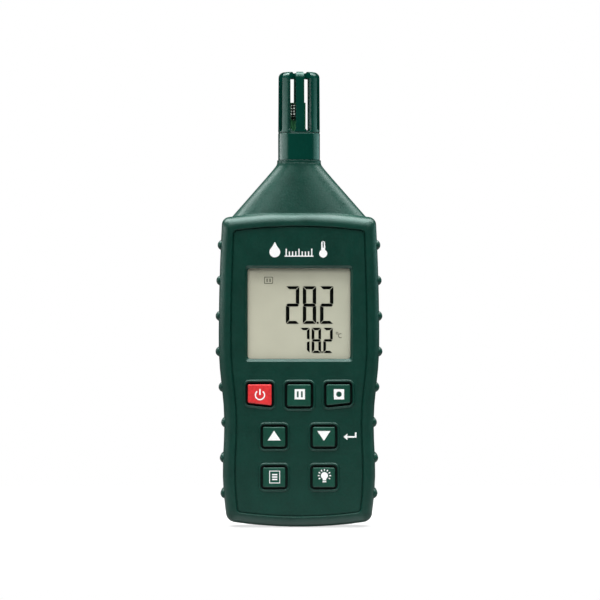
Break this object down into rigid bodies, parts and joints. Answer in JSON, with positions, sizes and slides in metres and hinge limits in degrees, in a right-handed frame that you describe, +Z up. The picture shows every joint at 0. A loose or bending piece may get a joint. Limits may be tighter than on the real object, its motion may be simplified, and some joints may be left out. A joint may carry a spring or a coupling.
{
  "type": "handheld digital hygro-thermometer",
  "caption": "Handheld hygro-thermometer: waisted case with grip ribs, display, seven keys, tapered neck, slotted sensor cap and a battery door.",
  "frame": {"origin": "on the foot, under the middle of the case", "axes": "+Z up along the case towards the sensor cap; -Y is the front with the display; +X is to the right as seen from the front"},
  "size_m": [0.0734, 0.033, 0.2],
  "materials": {
    "case_plastic": "fine satin texture",
    "cap_plastic": "glossy",
    "green_key": "satin",
    "red_key": "satin",
    "window": "clear",
    "display_glass": "satin",
    "white_plastic": "satin",
    "diffuser": "satin",
    "contact_rubber": "matt",
    "circuit_board": "satin",
    "chip": "matt",
    "ceramic": "matt",
    "mat_rubber": "matt",
    "black_plastic": "satin",
    "sensor_case": "satin",
    "ribbon": "satin",
    "foam": "open cell",
    "brass": "turned",
    "steel": "bright",
    "battery_can": "printed can",
    "red_wire": "satin",
    "black_wire": "satin"
  },
  "bodies": {
    "case": {"front_housing": "case_plastic", "rear_housing": "case_plastic", "tripod_insert": "brass", "case_screws": "steel", "display_window": "window", "lcd_glass": "display_glass", "lcd_frame": "white_plastic", "backlight_panel": "diffuser", "lcd_connector": "contact_rubber", "main_board": "circuit_board", "microcontroller": "chip", "crystal": "steel", "board_capacitors": "ceramic", "sensor_socket": "white_plastic", "board_screws": "steel", "keypad_mat": "mat_rubber", "sensor_cap": "cap_plastic", "sensor_holder": "black_plastic", "sensor_board": "circuit_board", "humidity_sensor": "sensor_case", "thermistor": "black_plastic", "sensor_ribbon": "ribbon", "battery": "battery_can", "battery_snap": "black_plastic", "red_lead": "red_wire", "black_lead": "black_wire"},
    "door": {"battery_door": "case_plastic", "door_pad": "foam"},
    "power_key": {"power_key": "red_key"},
    "hold_key": {"hold_key": "green_key"},
    "record_key": {"record_key": "green_key"},
    "up_key": {"up_key": "green_key"},
    "down_key": {"down_key": "green_key"},
    "memory_key": {"memory_key": "green_key"},
    "light_key": {"light_key": "green_key"}
  },
  "joints": [
    {"name": "battery_door_hinge", "type": "hinge", "parent": "case", "child": "door", "pos_m": [0, 0.0157, 0.0113], "axis": [-1, 0, 0], "range_deg": [0, 60]},
    {"name": "power_key_press", "type": "slide", "parent": "case", "child": "power_key", "axis": [0, 1, 0], "range_m": [0, 0.0008], "stiffness_N_per_m": 1500},
    {"name": "hold_key_press", "type": "slide", "parent": "case", "child": "hold_key", "axis": [0, 1, 0], "range_m": [0, 0.0008], "stiffness_N_per_m": 1500},
    {"name": "record_key_press", "type": "slide", "parent": "case", "child": "record_key", "axis": [0, 1, 0], "range_m": [0, 0.0008], "stiffness_N_per_m": 1500},
    {"name": "up_key_press", "type": "slide", "parent": "case", "child": "up_key", "axis": [0, 1, 0], "range_m": [0, 0.0008], "stiffness_N_per_m": 1500},
    {"name": "down_key_press", "type": "slide", "parent": "case", "child": "down_key", "axis": [0, 1, 0], "range_m": [0, 0.0008], "stiffness_N_per_m": 1500},
    {"name": "memory_key_press", "type": "slide", "parent": "case", "child": "memory_key", "axis": [0, 1, 0], "range_m": [0, 0.0008], "stiffness_N_per_m": 1500},
    {"name": "light_key_press", "type": "slide", "parent": "case", "child": "light_key", "axis": [0, 1, 0], "range_m": [0, 0.0008], "stiffness_N_per_m": 1500}
  ]
}
